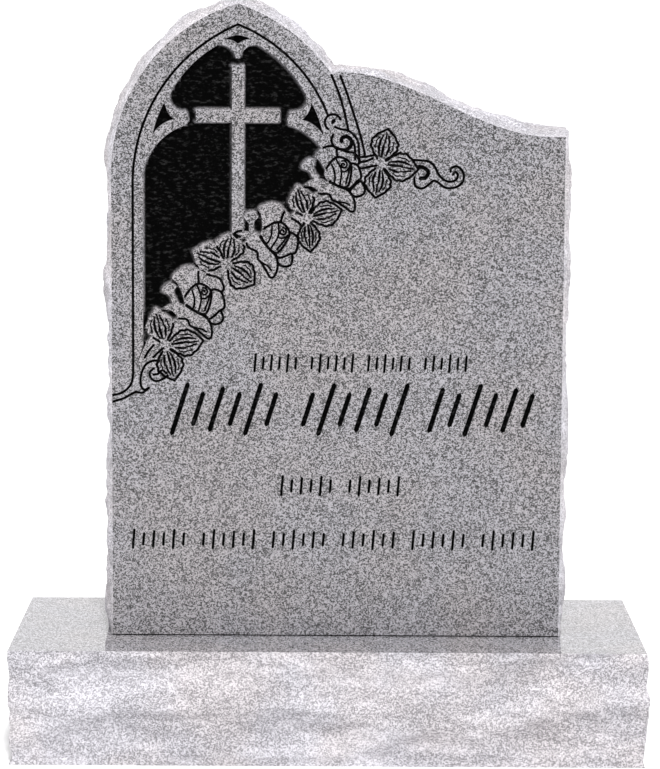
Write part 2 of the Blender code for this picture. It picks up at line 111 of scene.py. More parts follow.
# %% A value in a material
class Value:
    """One output socket. Arithmetic on it adds Math nodes to the same material."""

    def __init__(self, tree, socket):
        self.tree, self.socket = tree, socket

    def node(self, kind, settings, inputs, output=0):
        """A new node of a type: its settings are made first, then its sockets filled or linked."""
        made = self.tree.nodes.new(kind)
        for name, setting in settings.items():
            setattr(made, name, setting)
        for name, wanted in inputs.items():
            if isinstance(wanted, Value):
                self.tree.links.new(wanted.socket, made.inputs[name])
            else:
                made.inputs[name].default_value = wanted
        return Value(self.tree, made.outputs[output])

    def math(self, operation, first, second):
        return self.node("ShaderNodeMath", {"operation": operation}, {0: first, 1: second})

    def __add__(self, other):
        return self.math("ADD", self, other)

    def __radd__(self, other):
        return self.math("ADD", other, self)

    def __sub__(self, other):
        return self.math("SUBTRACT", self, other)

    def __rsub__(self, other):
        return self.math("SUBTRACT", other, self)

    def __mul__(self, other):
        return self.math("MULTIPLY", self, other)

    def __rmul__(self, other):
        return self.math("MULTIPLY", other, self)

    def step(self, low, high):
        """0 below low and 1 above high, with a smooth rise between them."""
        return self.node("ShaderNodeMapRange", {"interpolation_type": "SMOOTHSTEP"},
                         {"Value": self, "From Min": low, "From Max": high})

    def blend(self, first, second):
        """The first colour where this value is 0 and the second where it is 1."""
        return self.node("ShaderNodeMix", {"data_type": "RGBA"}, {0: self, 6: first, 7: second}, 2)

    def stretched(self, x, y, z):
        """A place with its three axes scaled, which makes a pattern long or short along them."""
        return self.node("ShaderNodeVectorMath", {"operation": "MULTIPLY"}, {0: self, 1: (x, y, z)})

    def clouds(self, size, detail=2.0, roughness=0.5):
        """Soft noise between 0 and 1 whose patches are about `size` metres across."""
        return self.node("ShaderNodeTexNoise", {},
                         {"Vector": self, "Scale": 1 / size, "Detail": detail, "Roughness": roughness})

    def crystals(self, size):
        """A random shade between 0 and 1 for each crystal, which are about `size` metres across."""
        cells = self.node("ShaderNodeTexVoronoi", {}, {"Vector": self, "Scale": 1 / size}, "Color")
        return self.node("ShaderNodeSeparateColor", {}, {0: cells})


def grey(level, tint=(1.0, 1.0, 1.0)):
    """A colour of that lightness, 0 to 1 in linear light, with an optional tint."""
    return (level * tint[0], level * tint[1], level * tint[2], 1.0)


def new_material(name):
    """An empty material, and the place on the object that its patterns are read at."""
    material = bpy.data.materials.new(name)
    material.use_nodes = True
    tree = material.node_tree
    tree.nodes.clear()
    coordinates = tree.nodes.new("ShaderNodeTexCoord")
    return material, Value(tree, coordinates.outputs["Object"])


def use_surface(shader):
    """Makes a shader the surface of its material."""
    output = shader.tree.nodes.new("ShaderNodeOutputMaterial")
    shader.tree.links.new(shader.socket, output.inputs["Surface"])


# %% [markdown]
# ## Granite
#
# Granite is a mass of crystals one to three millimetres across: pale feldspar, grey quartz and
# black mica. A Voronoi pattern gives every crystal its own shade, and two sizes of it look like
# the real mixture. Slow clouds shift the tone towards lilac and rose, as in large blocks.
# Polished stone is dark, because light goes in before it comes back. Broken or blasted stone is
# nearly white, because its crystals are bruised. One recipe with two strengths serves both.

# %% The recipe for granite
CRYSTAL = 0.0015
FINE_CRYSTAL = 0.0010
TONE_PATCH = 0.11
LILAC = (0.985, 0.958, 1.035)
ROSE = (1.02, 0.960, 1.00)


def granite_shade(place):
    """The crystals' shade from 0 to 1: 0.75 of the large and 0.25 of the fine, drawn apart."""
    return (0.75 * place.crystals(CRYSTAL) + 0.25 * place.crystals(FINE_CRYSTAL)).step(0.22, 0.78)


def granite_colour(place, shade, dark, light):
    """From dark to light by the crystals' shade, tinted by slow clouds."""
    tint = place.clouds(TONE_PATCH).step(0.35, 0.65)
    lilac = shade.blend(grey(dark, LILAC), grey(light, LILAC))
    rose = shade.blend(grey(dark, ROSE), grey(light, ROSE))
    return tint.blend(lilac, rose)


def bumps(height, depth):
    """A surface direction bent by a height pattern that is `depth` metres deep."""
    return height.node("ShaderNodeBump", {}, {"Height": height, "Strength": 1.0, "Distance": depth})


def principled(place, colour, roughness, normal, **constants):
    """A Principled shader whose colour, roughness and direction vary over the stone."""
    inputs = {"Base Color": colour, "Roughness": roughness, "Normal": normal}
    inputs.update({name.replace("_", " "): value for name, value in constants.items()})
    return place.node("ShaderNodeBsdfPrincipled", {}, inputs)


def polished_granite(name, dark, light, gloss):
    """Smooth granite: crystals under a flat surface, with a slightly uneven sheen."""
    material, place = new_material(name)
    shade = granite_shade(place)
    roughness = gloss + 0.03 * place.clouds(0.03) + 0.02 * shade
    normal = bumps(place.clouds(0.02), 0.00003)
    use_surface(principled(place, granite_colour(place, shade, dark, light), roughness, normal, IOR=1.6))
    return material


def broken_granite(name, dark, light):
    """Rock-faced granite: bruised crystals that stand out from each other."""
    material, place = new_material(name)
    shade = granite_shade(place)
    stain = place.stretched(0.35, 1, 1.3).clouds(0.05, 5.0, 0.65).step(0.35, 0.65)
    colour = granite_colour(place, 0.85 * shade + 0.36 * stain - 0.11, dark, light)
    roughness = 0.72 + 0.2 * shade
    ridges = place.stretched(0.45, 1, 1).clouds(0.014, 6.0, 0.65)
    use_surface(principled(place, colour, roughness, bumps(ridges + 0.10 * shade, 0.0045), IOR=1.5))
    return material


base_top_stone = polished_granite("polished_base_top", 0.02, 0.41, 0.01)
split_stone = broken_granite("rock_faced_granite", 0.185, 0.575)
# The tablet's sides take a paler copy of the rock-faced granite: painted light for sides that the key light
# hardly reaches.
edge_stone_painted_paler = broken_granite("bruised_granite_painted_paler", 0.23, 0.62)
print("stone finishes:", base_top_stone.name, split_stone.name, edge_stone_painted_paler.name)

# %% [markdown]
# ## The tablet's face
#
# The face is rubbed smooth but not polished. Towards its foot its colour is painted a shade
# paler: painted light that makes up for the shade falling there. Where the blast has cut into it
# the stone is bruised white, and most of that is painted black, so that the carving reads from
# afar. Three numbers on the mesh say how much of each there is: how blasted, how painted, and
# how much extra black a slope gets. The mesh follows every line of the carving, so the edges of
# the paint are as sharp as the cut. The paint thins out up the soft slopes. Those that face left
# get extra black to the rim, which is painted shade, and on those that face upward the bruised
# stone shows.

# %% The face's material
PAINT_SPECK = 0.0028
# Heights below and above which the face gets all and none of its painted light, which pales the foot where
# shade falls.
PAINTED_LIGHT_FULL_BELOW, PAINTED_LIGHT_NONE_ABOVE = 0.17, 0.80


def carved_face(name):
    """Rubbed granite with painted light towards its foot, blasted granite, and black paint with painted
    shade on slopes facing left, mixed by attributes of the mesh.
    """
    material, place = new_material(name)
    bare, painted, coat_and_left_shade = (
        place.node("ShaderNodeAttribute", {"attribute_name": attribute}, {}, "Fac")
        for attribute in ("blasted", "painted", "coat_and_left_shade"))
    shade = granite_shade(place)
    # Painted light: the face's colour is lightened towards the foot, where it falls in shade.
    painted_light_near_foot = place.node("ShaderNodeSeparateXYZ", {}, {0: place}, 2).step(PAINTED_LIGHT_NONE_ABOVE, PAINTED_LIGHT_FULL_BELOW)
    rubbed_and_painted_light = granite_colour(place, shade + 0.05 * painted_light_near_foot, 0.004, 0.276)
    bruised = granite_colour(place, shade, 0.14, 0.44)
    grit = place.clouds(PAINT_SPECK, 3.0, 0.7)
    colour = bare.blend(rubbed_and_painted_light, bruised)
    roughness = 0.38 + 0.12 * shade + 0.35 * bare
    stone = principled(place, colour, roughness, bumps(bare * grit, 0.0006), IOR=1.5)
    streaks = place.stretched(0.5, 1, 1.1).clouds(0.005, 4.0, 0.7).step(0.52, 0.68)
    black = streaks.blend(grey(0.0006), grey(0.015))
    coat = principled(place, black, 0.6 + 0.3 * grit, bumps(grit, 0.0006), Specular_IOR_Level=0.015)
    # Painted shade: the extra black on slopes that face left darkens them as if they were in shade.
    cover = (painted + coat_and_left_shade - painted * coat_and_left_shade + 0.2 * grit - 0.10).step(0.04, 0.86)
    use_surface(place.node("ShaderNodeMixShader", {}, {0: cover, 1: stone, 2: coat}))
    return material


face_stone = carved_face("carved_face")

# %% [markdown]
# ## Curves of the carving
#
# Masons draw the carving full size and cut a rubber stencil along it. The same drawing is made
# here from arcs for the window and smooth lines through a few points for stems and petals.
# Points are rows of x and height, in metres from the middle of the tablet's foot.

# %% Sizes of the tablet
TABLET_WIDTH = 0.615
TABLET_THICKNESS = tablet_high[1] - tablet_low[1]
TABLET_HEIGHT = 0.867
TABLET_OFFSET = 0.0113
TABLET_PITCH = 0.019
TABLET_FOOT = tablet_low[2]
TABLET_FRONT = tablet_low[1]
ARCH_HEIGHT, ARCH_RISE = 0.231, 0.048
BRANCH_CUT, BRANCH_RISE = 0.016, 0.0125
NOTCH_DROP = 0.094
SHOULDER_START, SHOULDER_LIP = 0.010, 0.003
SHOULDER_DROP, SHOULDER_FLAT = 0.086, 0.016
OUTLINE_SPACING = 0.028
FINE_SPACING = 0.0034

WINDOW_MARGIN, WINDOW_WIDTH = 0.029, 0.285
WINDOW_TOP_MARGIN, WINDOW_ARCH_HEIGHT = 0.028, 0.217
WINDOW_RISE, BRANCH_LINE_RISE = 0.0393, 0.0177
CROSS_BAR, CROSS_SPAN = 0.0155, 0.113
CROSS_TOP_OVER_SPRING, CROSS_ARMS_OVER_SPRING = 0.161, 0.0935
CROSS_FOOT_UNDER_SPRING = 0.072
WINDOW_AXIS = WINDOW_MARGIN + WINDOW_WIDTH / 2 - TABLET_WIDTH / 2
WINDOW_APEX = TABLET_HEIGHT - WINDOW_TOP_MARGIN
WINDOW_SPRING = WINDOW_APEX - WINDOW_ARCH_HEIGHT
CARVING_UNIT = WINDOW_WIDTH / 285


# %% Curves
def carving(*points):
    """Points of the garland, in its own millimetres from the window's axis and spring."""
    return np.array(points, float) * CARVING_UNIT + (WINDOW_AXIS, WINDOW_SPRING)


def bow(start, end, rise, count=40):
    """An arc from start to end whose middle stands `rise` to the right of the straight way."""
    start, end = np.asarray(start, float), np.asarray(end, float)
    along = (end - start) / 2
    half = np.hypot(*along)
    right = np.array([along[1], -along[0]]) / half
    angle = 2 * math.atan(rise / half)
    turn = np.linspace(-angle, angle, count)[:, None]
    across = (np.cos(turn) - math.cos(angle)) / math.sin(angle) * half
    return (start + end) / 2 + along * np.sin(turn) / math.sin(angle) + right * across


def curve(points, closed=False, count=12):
    """A smooth line through a few points: a Catmull-Rom spline with `count` steps a stretch."""
    points = np.asarray(points, float)
    if closed:
        ring = np.vstack([points[-1:], points, points[:2]])
    else:
        ring = np.vstack([2 * points[0] - points[1], points, 2 * points[-1] - points[-2]])
    t = np.linspace(0, 1, count, endpoint=False)[:, None]
    pieces = []
    for a, b, c, d in zip(ring, ring[1:], ring[2:], ring[3:]):
        pieces.append(b + (c - a) * t / 2 + (2 * a - 5 * b + 4 * c - d) * t**2 / 2
                      + (3 * b - a - 3 * c + d) * t**3 / 2)
    return np.vstack(pieces if closed else pieces + [points[-1:]])


def evenly(line, spacing):
    """The same line with points about `spacing` apart, its ends kept."""
    along = np.concatenate([[0], np.cumsum(np.hypot(*np.diff(line, axis=0).T))])
    wanted = np.linspace(0, along[-1], max(2, round(along[-1] / spacing) + 1))
    return np.column_stack([np.interp(wanted, along, line[:, k]) for k in (0, 1)])


def closed_line(outline):
    return np.vstack([outline, outline[:1]])


def outward(loop):
    """Directions out of a closed loop of plane points, evened out over their neighbours."""
    way = np.roll(loop, -1, axis=0) - np.roll(loop, 1, axis=0)
    out = np.column_stack([way[:, 1], -way[:, 0]])
    out /= np.hypot(*out.T)[:, None]
    for _ in range(2):
        out = (np.roll(out, 1, axis=0) + 2 * out + np.roll(out, -1, axis=0)) / 4
    return out / np.hypot(*out.T)[:, None]


# %% [markdown]
# ## Where a point lies
#
# The depth of the carving at a point follows from how far the point is from each line. Each
# stretch of a line can have its own width, and distance is counted in widths. That lets a
# groove taper, and a slope be long on one side and short on the other, without a jump.

# %% Distances
BLOCK = 3_000_000


def widths_away(points, start, end, width):
    """The least distance to any straight stretch, in that stretch's widths, and which one it is."""
    away, nearest = np.full(len(points), np.inf), np.zeros(len(points), int)
    if not len(points) or not len(start):
        return away, nearest
    way = end - start
    length_squared = np.maximum((way**2).sum(1), 1e-14)
    blocks = np.array_split(np.arange(len(points)), 1 + len(points) * len(start) // BLOCK)
    for block in blocks:
        x, z = points[block, :1] - start[:, 0], points[block, 1:] - start[:, 1]
        share = np.clip((x * way[:, 0] + z * way[:, 1]) / length_squared, 0, 1)
        widths = np.hypot(x - share * way[:, 0], z - share * way[:, 1]) / width
        away[block], nearest[block] = widths.min(1), widths.argmin(1)
    return away, nearest


def inside(points, outline):
    """Which points lie within a closed outline: those that see an odd number of sides to their right."""
    a, b = outline, np.roll(outline, -1, axis=0)
    within = np.zeros(len(points), bool)
    close = np.flatnonzero(np.all((points > outline.min(0)) & (points < outline.max(0)), axis=1))
    rise = np.where(a[:, 1] == b[:, 1], 1, b[:, 1] - a[:, 1])
    for block in np.array_split(close, 1 + len(close) * len(a) // BLOCK):
        x, z = points[block, :1], points[block, 1:]
        spans = (z < a[:, 1]) != (z < b[:, 1])
        crossing = a[:, 0] + (z - a[:, 1]) * (b[:, 0] - a[:, 0]) / rise
        within[block] = (spans & (x < crossing)).sum(1) % 2 == 1
    return within


def runs(line, kept, fewest=8):
    """The unbroken stretches of a line whose points are kept."""
    edges = np.flatnonzero(np.diff(np.concatenate([[0], np.asarray(kept, int), [0]])))
    return [line[a:b] for a, b in zip(edges[::2], edges[1::2]) if b - a >= fewest]


# %% [markdown]
# ## The tablet's outline
#
# The left half is a pointed arch. The right half starts lower, at a notch, and falls to the
# side in a soft wave. The outline is cut coarsely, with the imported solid's own points, so that
# the rough sides keep its lumps, and again finely for the detail.

# %% The tablet's outline
def tablet_outline(spacing):
    """Counter-clockwise from the left foot: foot, right side, shoulder, notch, pointed arch."""
    right, left = TABLET_WIDTH / 2, -TABLET_WIDTH / 2
    apex = (WINDOW_AXIS, TABLET_HEIGHT)
    notch = (WINDOW_AXIS + WINDOW_WIDTH / 2 - BRANCH_CUT, TABLET_HEIGHT - NOTCH_DROP)
    spring = TABLET_HEIGHT - ARCH_HEIGHT
    crest = notch[1] + SHOULDER_LIP
    low = crest - SHOULDER_DROP
    start, end = notch[0] + SHOULDER_START, right - SHOULDER_FLAT
    t = np.linspace(1, 0, 24)
    wave = np.column_stack([start + (end - start) * t, low + SHOULDER_DROP * (1 + np.cos(np.pi * t)) / 2])
    pieces = [
        np.array([(left, 0), (right, 0)]),
        np.array([(right, 0), (right, low)]),
        np.vstack([[(right, low)], wave, [notch]]),
        bow(notch, apex, BRANCH_RISE, 24),
        bow(apex, (left, spring), ARCH_RISE, 24),
        np.array([(left, spring), (left, 0)]),
    ]
    return np.vstack([evenly(piece, spacing)[:-1] for piece in pieces])


coarse_outline = tablet_outline(OUTLINE_SPACING)
fine_outline = tablet_outline(FINE_SPACING)
print("outline points:", len(coarse_outline), "coarse,", len(fine_outline), "fine")

# %% [markdown]
# ## The window
#
# A gothic window is built of arcs. Two lights meet under a cusp at the top, and cusps at the
# sides pinch them, with a small pierced eyelet beside each cusp. The right half mirrors the
# left one, down to where the garland hides it. The cross is two flat bars left standing.

# %% The window
def glass_outline():
    """The sunk field of the window: two lights between cusps, down to behind the garland."""
    left = carving((-129, -220), (-129, 14))
    lower = bow(left[1], carving((-69, 82))[0], -0.013)
    cusp = curve(carving((-69, 82), (-67, 90), (-71, 99)))
    corner = bow(cusp[-1], carving((-92, 123))[0], -0.009)
    light = bow(corner[-1], carving((-26, 190))[0], -0.007)
    lobe = bow(light[-1], carving((-2.5, 172))[0], -0.0055)
    half = np.vstack([left[:1], lower, cusp[1:], corner[1:], light[1:], lobe[1:]])
    twin = half[:0:-1] * (-1, 1) + (2 * WINDOW_AXIS, 0)
    seen = twin[twin[:, 1] > carving((0, 46))[0, 1]]
    hidden = carving((135, 30), (117, -2), (91, -20), (59, -56), (21, -70), (-13, -90),
                     (-53, -128), (-83, -182), (-113, -202), (-124, -214), (-140, -250))
    return np.vstack([half, seen, hidden])


def ring_of_arcs(corners, rises):
    """A closed outline of arcs from corner to corner, each with its own rise."""
    corners = carving(*corners)
    return np.vstack([bow(start, end, rise)[:-1]
                      for start, end, rise in zip(corners, np.roll(corners, -1, axis=0), rises)])


def eyelets():
    """The pierced shapes of the tracery: one over the top cusp and one beside each side cusp."""
    top = ring_of_arcs([(-19, 197), (0, 203), (18, 197), (0, 190)], (-0.001, -0.001, 0.002, 0.002))
    side = ring_of_arcs([(-99, 113), (-116, 67), (-86, 89)], (0.002, -0.004, -0.003))
    return [top, side, side[::-1] * (-1, 1) + (2 * WINDOW_AXIS, 0)]


def bar(left, right, low, high):
    return np.array([(left, low), (right, low), (right, high), (left, high)])


def cross_bars():
    """An upright bar that runs behind the garland, and the arms."""
    half, span = CROSS_BAR / 2, CROSS_SPAN / 2
    foot, top = WINDOW_SPRING - CROSS_FOOT_UNDER_SPRING, WINDOW_SPRING + CROSS_TOP_OVER_SPRING
    arms = WINDOW_SPRING + CROSS_ARMS_OVER_SPRING
    return [bar(WINDOW_AXIS - half, WINDOW_AXIS + half, foot, top),
            bar(WINDOW_AXIS - span, WINDOW_AXIS + span, arms - half, arms + half)]


# %% [markdown]
# ## The garland
#
# Three half-open roses and four three-lobed leaves climb across the window's lower right side.
# Every petal and lobe is a layer: an outline that hides what lies behind it, the lines cut for
# it, and how softly it may slope down into the recess. Grooves with a constant width outline
# the layers, and tapered ones are the veins.

# %% Leaves
LINE_WIDTH = 0.0041
FOLD_WIDTH = 0.0032
VEIN_WIDTH = 0.0046
BROAD_WIDTH = 0.0065
SOFT_SLOPE = 0.0078
COLLAR_SLOPE = 0.0022
COLLAR_EDGE = 0.0024


def leaf_lobe(centre, angle, length, width):
    """One lobe: half width sin(pi t^1.15) with scallops, its rim, and veins that bow with it."""
    turn = math.radians(angle)
    axis = np.array([math.cos(turn), math.sin(turn)])
    side = np.array([-axis[1], axis[0]])

    def half_width(t):
        scallops = 0.92 + 0.11 * np.abs(np.sin(5.5 * np.pi * t))
        return width / 2 * np.maximum(np.sin(np.pi * t**1.15), 0) * scallops

    def place(t, share):
        return centre + np.outer(t * length, axis) + np.outer(share * half_width(t), side)

    def rim(start):
        t = np.linspace(start, 1, 61)
        return np.vstack([place(t, np.ones_like(t)), place(t[-2::-1], -np.ones_like(t[1:]))])

    cuts = [(rim(0.13), LINE_WIDTH, False)]
    veins = [(0.20, 0.56, 0.06, 1.0), (0.62, 0.86, 0.0, 0.7), (0.22, 0.80, 0.42, 0.95),
             (0.26, 0.52, -0.42, 0.95), (0.56, 0.80, -0.36, 0.75), (0.44, 0.72, 0.74, 0.55),
             (0.36, 0.66, -0.74, 0.55)]
    for start, end, share, weight in veins:
        t = np.linspace(start, end, 12)
        cuts.append((place(t, share * (1 - 0.35 * t**2)), VEIN_WIDTH * weight, True))
    return rim(0.02), cuts, SOFT_SLOPE


def leaf(x, z, *lobes):
    """Three lobes about one stem point: each lobe's direction, length and width."""
    centre = carving((x, z))[0]
    return [leaf_lobe(centre, angle, length * CARVING_UNIT, width * CARVING_UNIT)
            for angle, length, width in lobes]


# %% [markdown]
# ## Roses
#
# Each rose is drawn once and set three times, turned and sized a little differently, as a
# stencil is. Petals come first, then the collar below them, and the bud lies over both.

# %% Roses
def rose(x, z, turn, reach):
    """A half-open rose seen from its side, about the bud's middle: petals, collar, bud and heart."""
    angle = math.radians(turn)
    spin = np.array([[math.cos(angle), math.sin(angle)], [-math.sin(angle), math.cos(angle)]])

    def placed(points, size=1.0):
        return carving(*(np.array(points, float) * size @ spin + (x, z)))

    petals = [
        [(-29, 23), (-35, 29), (-28, 37), (-18, 43), (-4, 43), (8, 34), (10, 14), (-14, -8), (-22, 10)],
        [(1, 38), (15, 33), (27, 30), (33, 23), (34, 12), (16, 6), (4, 12)],
        [(18, 12), (30, 11), (35, 2), (36, -11), (29, -16), (22, -23), (13, -26), (4, -6)],
    ]
    sepal = [(28, -14), (33, -20), (34, -28), (29, -33), (20, -34), (14, -26)]
    knob = [(-49, 11), (-44, 18), (-36, 21), (-30, 17), (-33, 10), (-30, 0), (-26, -6), (-34, -6),
            (-39, 5)]
    collar = [(-52, -15), (-45, -8), (-35, -4), (-22, -5), (-12, -12), (0, -19), (10, -24), (16, -31),
              (19, -42), (18, -52), (13, -54), (6, -48), (-4, -40), (-11, -36), (-15, -28), (-28, -26),
              (-37, -18)]
    bud = [(-19, -2), (-11, 13), (0, 21), (11, 18), (18, 10), (17, -4), (10, -20), (-6, -15)]
    folds = [
        [(-8, 12), (-5, 2), (-5, -8), (-7, -13)],
        [(-1, 18), (4, 6), (4, -4), (1, -16)],
        [(16, 8), (14, -2), (9, -16)],
        [(4, 1), (10, 1), (15, 5)],
    ]
    turns = np.linspace(0, 1, 20)
    heart = np.column_stack([8 + (1.2 + 4.6 * turns) * np.cos(8.2 * turns),
                             10 + (1.2 + 4.6 * turns) * np.sin(8.2 * turns)])
    slopes = [SOFT_SLOPE] * 5 + [COLLAR_SLOPE] * 2
    outlines = [placed(sepal), placed(knob)] + [placed(petal, reach) for petal in petals]
    outlines = [curve(outline, True) for outline in outlines + [placed(collar), placed(bud)]]
    edges = outlines[:-2] + [outlines[-2] + outward(outlines[-2]) * COLLAR_EDGE, outlines[-1]]
    cuts = [[] for _ in petals + [sepal, knob]]
    cuts += [[[(-5, -39), (5, -41), (12, -45)]], folds + [heart]]
    return [(edge, [(closed_line(outline), LINE_WIDTH, False)]
             + [(curve(placed(line)), FOLD_WIDTH, False) for line in cut], slope)
            for edge, outline, cut, slope in zip(edges, outlines, cuts, slopes)]


def garland():
    """Roses first and leaves in front of them, from the lower left to the shoulder."""
    layers = rose(-54, -155, 0, 1.0) + rose(50, -69, -20, 0.95) + rose(136, 18, 5, 0.84)
    layers += leaf(-99, -219, (105, 52, 37), (8, 53, 36), (-75, 50, 36))
    layers += leaf(-15, -107, (80, 43, 40), (160, 49, 39), (-36, 47, 40))
    layers += leaf(94, -44, (108, 46, 35), (14, 49, 34), (-84, 46, 30))
    layers += leaf(193, 30, (78, 49, 37), (-8, 52, 38), (-98, 46, 36))
    return layers


# %% [markdown]
# ## Lines that stand by themselves
#
# The arch line runs round the whole window and ends in a scroll, and scrolls and stems fill
# the two ends of the garland. They are single grooves, cut in one pass of the blast.

# %% Scrolls, stems and the arch line
def ornament_lines():
    """The arch line, twin lines, scrolls and stems, with their widths."""
    jamb = WINDOW_AXIS - WINDOW_WIDTH / 2
    apex = (WINDOW_AXIS, WINDOW_APEX)
    turn_out = carving((-142.5, -258), (-145, -271), (-153, -281), (-163, -286), (-173, -288))
    arch = np.vstack([bow(carving((121.5, 96))[0], apex, BRANCH_LINE_RISE)[:-1],
                      bow(apex, (jamb, WINDOW_SPRING), WINDOW_RISE)[:-1],
                      curve(turn_out)])
    ring = np.radians(np.linspace(20, 238, 16))
    upper_ring = carving(*np.column_stack([128.5 + 11 * np.cos(ring), 86 + 11 * np.sin(ring)]))
    lines = [
        [(126, 150), (136, 126), (144, 100), (149.5, 75)],
        [(138, 149), (147, 126), (158, 93), (166, 68), (172, 43)],
        [(131, 80), (139, 77), (149, 75), (157, 69), (163, 58), (164.5, 35)],
        [(129, 70), (126.5, 62), (129, 55), (134, 50.5), (142, 50), (148, 48)],
        [(146, 69), (153, 64), (158, 54), (159, 36)],
        [(164, 39), (174, 40), (183, 42)],
        [(164, 32), (174, 34), (183, 38)],
        [(167, 24), (181, 27), (188, 28)],
        [(236, 36), (246, 35.5), (258, 34), (266, 28), (271, 18), (278, 10), (287, 6.5),
                (295, 9), (298, 15), (295, 20), (291, 16)],
        [(288, 20), (289, 25), (295, 27.5), (301, 25), (306, 17), (305, 7), (299, 1), (290, -2),
                (280, -1), (272, 5), (266, 8), (260, 4), (252, -2), (245, -2), (240, 2), (239, 12)],
        [(-107, -240), (-116, -240), (-126, -246), (-132, -260), (-132, -274), (-127, -280),
                (-121, -277)],
        [(-114, -250), (-120, -256), (-118, -264), (-111, -268), (-102, -265), (-95, -260)],
        [(-115, -259), (-109, -258), (-103, -253), (-97, -257)],
        [(-127, -236), (-121, -226), (-114, -218)],
        [(-115, -235), (-109, -229), (-101, -222)],
        [(-172.5, -297), (-156, -292), (-147, -287), (-139, -283), (-130, -284), (-121, -277)],
    ]
    broad = [
        [(128, 86), (130, 89)],
        [(140, 60), (141, 65), (146, 67), (151, 65), (154, 60), (152, 53), (148, 50)],
        [(245, 27), (253, 25), (258, 19), (254, 12), (247, 11)],
    ]
    thin = [arch, upper_ring] + [curve(carving(*line)) for line in lines]
    return ([(line, LINE_WIDTH, False) for line in thin]
            + [(curve(carving(*line)), BROAD_WIDTH, False) for line in broad])


# %% [markdown]
# ## The inscription's place
#
# Where the real stone has its inscription, this one keeps four rows of leaning strokes. They
# have the inscription's size and weight, and the strokes only alternate in height, so that
# nothing can be read.

# %% Rows of strokes
# Margins to the left and right side, foot, height, lean, number of places and stroke width
ROWS = (
    (0.190, 0.126, 0.368, 0.024, 0.08, 27, 0.0040),
    (0.080, 0.034, 0.282, 0.068, 0.32, 20, 0.0078),
    (0.226, 0.216, 0.197, 0.026, 0.08, 13, 0.0042),
    (0.022, 0.030, 0.122, 0.026, 0.08, 41, 0.0042),
)
ROW_GROUP = 7
STROKE_HEIGHTS = (1.0, 0.62, 0.84, 0.62)


def inscription_strokes():
    """Leaning strokes, longer and shorter by turns, with a gap after every sixth."""
    strokes = []
    for left, right, foot, height, lean, places, width in ROWS:
        for i in range(places):
            if i % ROW_GROUP == ROW_GROUP - 1:
                continue
            share = (i + 0.5) / places
            middle = (left - TABLET_WIDTH / 2 + (TABLET_WIDTH - left - right) * share, foot + height / 2)
            half = np.array([lean, 1]) * height * STROKE_HEIGHTS[i % len(STROKE_HEIGHTS)] / 2
            strokes.append((np.array([middle - half, middle + half]), width, False))
    return strokes


# %% [markdown]
# ## The recess and its slopes
#
# The window is sunk six millimetres. On the real stone the walls that face upward or to the
# left run down in a soft slope, and the others drop sharply. Each stretch of the rim gets its
# slope's length from the way it faces, and a shorter one where the recess is narrow. The rim
# is the edge that one sees, without what another layer covers.

# %% The recess
RECESS_DEPTH = 0.006
SHARP_SLOPE = 0.0011
EYELET_SLOPE = 0.0014
SOFT_SIDE = np.array([-0.62, 0.78])
SOFT_BIAS = 0.9
GAP_SHARE = 0.38
GAP_STEP = 0.0015
GAP_REACH = 0.021
RIM_SAMPLE = 0.0009

glass = glass_outline()
holes = eyelets()
layers = garland()
islands = cross_bars() + [outline for outline, _, _ in layers]


def sunk_field(points):
    """Which points lie in the recess: in the glass and on no island, or in an eyelet."""
    within = inside(points, glass)
    for island in islands:
        within &= ~inside(points, island)
    for hole in holes:
        within |= inside(points, hole)
    return within


def slope_length(x, z, longest):
    """Length of the slope that runs down in a direction: a smooth step from sharp to soft."""
    soft = np.clip(0.5 + SOFT_BIAS * (x * SOFT_SIDE[0] + z * SOFT_SIDE[1]), 0, 1)
    return SHARP_SLOPE + (longest - SHARP_SLOPE) * soft * soft * (3 - 2 * soft)


def rim_stretches(outline, hollow, longest=SOFT_SLOPE):
    """The seen stretches of an outline's rim: start, end, way they face and longest slope."""
    rim = evenly(closed_line(outline), RIM_SAMPLE)
    start, end = rim[:-1], rim[1:]
    way = end - start
    area = (rim[:-1, 0] * rim[1:, 1] - rim[1:, 0] * rim[:-1, 1]).sum()
    facing = np.column_stack([way[:, 1], -way[:, 0]]) / np.hypot(*way.T)[:, None] * np.sign(area)
    if hollow:
        facing = -facing
    for _ in range(3):
        facing = (np.roll(facing, 1, axis=0) + 2 * facing + np.roll(facing, -1, axis=0)) / 4
    middle = (start + end) / 2
    seen = sunk_field(middle + facing * RIM_SAMPLE / 4) & ~sunk_field(middle - facing * RIM_SAMPLE / 4)
    gap = np.full(len(start), GAP_REACH)
    for step in np.arange(GAP_REACH, 0, -GAP_STEP):
        gap[~sunk_field(middle + facing * step)] = step
    longest = np.clip(gap * GAP_SHARE, SHARP_SLOPE, longest)
    return [values[seen] for values in (start, end, facing, longest)]


rims = [rim_stretches(glass, True)] + [rim_stretches(outline, False) for outline in cross_bars()]
rims += [rim_stretches(outline, False, slope) for outline, _, slope in layers]
rims += [rim_stretches(hole, True, EYELET_SLOPE) for hole in holes]
rim_start, rim_end, rim_facing, rim_longest = (np.concatenate(values) for values in zip(*rims))
print("rim of the recess:", round(RIM_SAMPLE * len(rim_start), 2), "m")


